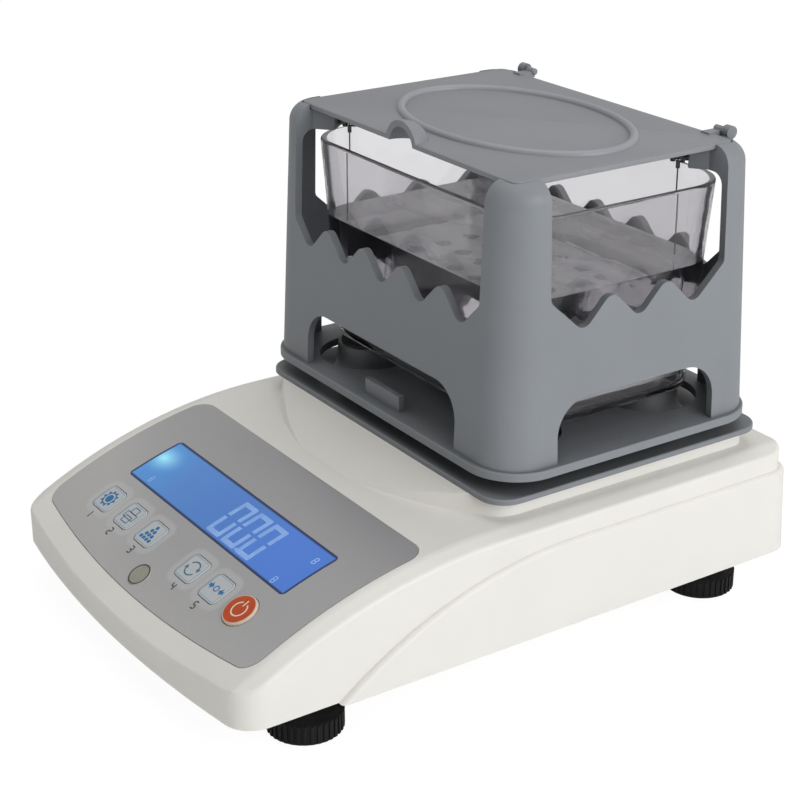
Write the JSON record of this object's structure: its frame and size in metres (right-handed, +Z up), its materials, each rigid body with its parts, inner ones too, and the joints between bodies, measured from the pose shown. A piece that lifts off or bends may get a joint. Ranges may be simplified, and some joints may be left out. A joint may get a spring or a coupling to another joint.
{
  "type": "benchtop density meter",
  "caption": "Benchtop density meter: wedge-shaped balance base with display and keys, carrying a cage with a hinged lid that hangs an immersion pan in a clear water tank",
  "frame": {"origin": "middle of the footprint, on the table under the levelling feet", "axes": "+Z up, -Y is the front with the display, +X is to the right of a person facing the display"},
  "size_m": [0.1922, 0.268, 0.1957],
  "materials": {
    "housing_cream": "satin moulded ABS, warm off-white",
    "panel_grey": "silver-grey printed polyester film",
    "display_blue": "blue backlit display behind a clear lens",
    "key_silver": "pale embossed key film",
    "power_orange": "orange key",
    "level_khaki": "tinted round level lens",
    "cage_grey": "fine-textured dark grey moulded plastic",
    "lid_grey": "grey moulded lid",
    "plate_grey": "dark grey moulded plate",
    "tank_clear": "clear acrylic",
    "steel": "stainless steel",
    "zinc": "zinc-plated steel",
    "aluminium": "machined aluminium",
    "brass": "turned brass",
    "black_plastic": "black moulded plastic",
    "rubber": "black rubber",
    "circuit_green": "glass-fibre circuit board",
    "battery_wrap": "shrink sleeve"
  },
  "bodies": {
    "root": {"base_cover": "housing_cream", "base_tray": "housing_cream", "foot_inserts": "brass", "case_screws": "zinc", "panel_overlay": "panel_grey", "key_board": "circuit_green", "key_switches": "black_plastic", "display_window": "display_blue", "lcd_module": "black_plastic", "bubble_level": "black_plastic", "level_lens": "level_khaki", "main_board": "circuit_green", "board_parts": "black_plastic", "board_standoffs": "brass", "load_cell": "aluminium", "cell_mount": "aluminium", "cell_screws": "zinc", "battery_pack": "battery_wrap", "dc_jack": "black_plastic", "data_port": "zinc", "tank_support_plate": "plate_grey", "post_pads": "rubber", "water_tank": "tank_clear"},
    "weighing_frame": {"weighing_cage": "cage_grey", "hanger_pins": "steel", "suspension_wires": "steel", "wire_ferrules": "black_plastic", "immersion_pan": "steel", "carrier_post": "aluminium", "carrier_bracket": "aluminium", "carrier_screw": "zinc"},
    "lid": {"cage_lid": "lid_grey", "lid_pins": "steel"},
    "key_set_body": {"key_set": "key_silver"},
    "key_print_body": {"key_print": "key_silver"},
    "key_enter_body": {"key_enter": "key_silver"},
    "key_mode_body": {"key_mode": "key_silver"},
    "key_zero_body": {"key_zero": "key_silver"},
    "power_key_body": {"power_key": "power_orange"},
    "stud_front_left": {"foot_stud_front_left": "zinc"},
    "knob_front_left": {"foot_knob_front_left": "black_plastic"},
    "stud_front_right": {"foot_stud_front_right": "zinc"},
    "knob_front_right": {"foot_knob_front_right": "black_plastic"},
    "stud_rear_left": {"foot_stud_rear_left": "zinc"},
    "knob_rear_left": {"foot_knob_rear_left": "black_plastic"},
    "stud_rear_right": {"foot_stud_rear_right": "zinc"},
    "knob_rear_right": {"foot_knob_rear_right": "black_plastic"}
  },
  "joints": [
    {"name": "frame_sink", "type": "slide", "parent": "root", "child": "weighing_frame", "axis": [0, 0, -1], "range_m": [0, 0.0004], "stiffness_N_per_m": 75000},
    {"name": "lid_hinge", "type": "hinge", "parent": "weighing_frame", "child": "lid", "pos_m": [0, 0.11115, 0.1882], "axis": [-1, 0, 0], "range_deg": [0, 100]},
    {"name": "key_set_press", "type": "slide", "parent": "root", "child": "key_set_body", "axis": [0, 0.4165, -0.9091], "range_m": [0, 0.0005], "stiffness_N_per_m": 2000},
    {"name": "key_print_press", "type": "slide", "parent": "root", "child": "key_print_body", "axis": [0, 0.4165, -0.9091], "range_m": [0, 0.0005], "stiffness_N_per_m": 2000},
    {"name": "key_enter_press", "type": "slide", "parent": "root", "child": "key_enter_body", "axis": [0, 0.4165, -0.9091], "range_m": [0, 0.0005], "stiffness_N_per_m": 2000},
    {"name": "key_mode_press", "type": "slide", "parent": "root", "child": "key_mode_body", "axis": [0, 0.4165, -0.9091], "range_m": [0, 0.0005], "stiffness_N_per_m": 2000},
    {"name": "key_zero_press", "type": "slide", "parent": "root", "child": "key_zero_body", "axis": [0, 0.4165, -0.9091], "range_m": [0, 0.0005], "stiffness_N_per_m": 2000},
    {"name": "power_key_press", "type": "slide", "parent": "root", "child": "power_key_body", "axis": [0, 0.4165, -0.9091], "range_m": [0, 0.0005], "stiffness_N_per_m": 2000},
    {"name": "foot_lift_front_left", "type": "slide", "parent": "root", "child": "stud_front_left", "axis": [0, 0, 1], "range_m": [-0.005, 0.005]},
    {"name": "foot_turn_front_left", "type": "hinge", "parent": "stud_front_left", "child": "knob_front_left", "pos_m": [-0.0786, -0.09295, 0.005], "axis": [0, 0, 1], "range_deg": [-1450, 1450]},
    {"name": "foot_lift_front_right", "type": "slide", "parent": "root", "child": "stud_front_right", "axis": [0, 0, 1], "range_m": [-0.005, 0.005]},
    {"name": "foot_turn_front_right", "type": "hinge", "parent": "stud_front_right", "child": "knob_front_right", "pos_m": [0.0786, -0.09295, 0.005], "axis": [0, 0, 1], "range_deg": [-1450, 1450]},
    {"name": "foot_lift_rear_left", "type": "slide", "parent": "root", "child": "stud_rear_left", "axis": [0, 0, 1], "range_m": [-0.005, 0.005]},
    {"name": "foot_turn_rear_left", "type": "hinge", "parent": "stud_rear_left", "child": "knob_rear_left", "pos_m": [-0.0786, 0.09855, 0.005], "axis": [0, 0, 1], "range_deg": [-1450, 1450]},
    {"name": "foot_lift_rear_right", "type": "slide", "parent": "root", "child": "stud_rear_right", "axis": [0, 0, 1], "range_m": [-0.005, 0.005]},
    {"name": "foot_turn_rear_right", "type": "hinge", "parent": "stud_rear_right", "child": "knob_rear_right", "pos_m": [0.0786, 0.09855, 0.005], "axis": [0, 0, 1], "range_deg": [-1450, 1450]}
  ],
  "couplings": [
    {"joint": "foot_turn_front_left", "follows": "foot_lift_front_left", "rad_per_m": 5026.5},
    {"joint": "foot_turn_front_right", "follows": "foot_lift_front_right", "rad_per_m": 5026.5},
    {"joint": "foot_turn_rear_left", "follows": "foot_lift_rear_left", "rad_per_m": 5026.5},
    {"joint": "foot_turn_rear_right", "follows": "foot_lift_rear_right", "rad_per_m": 5026.5}
  ]
}
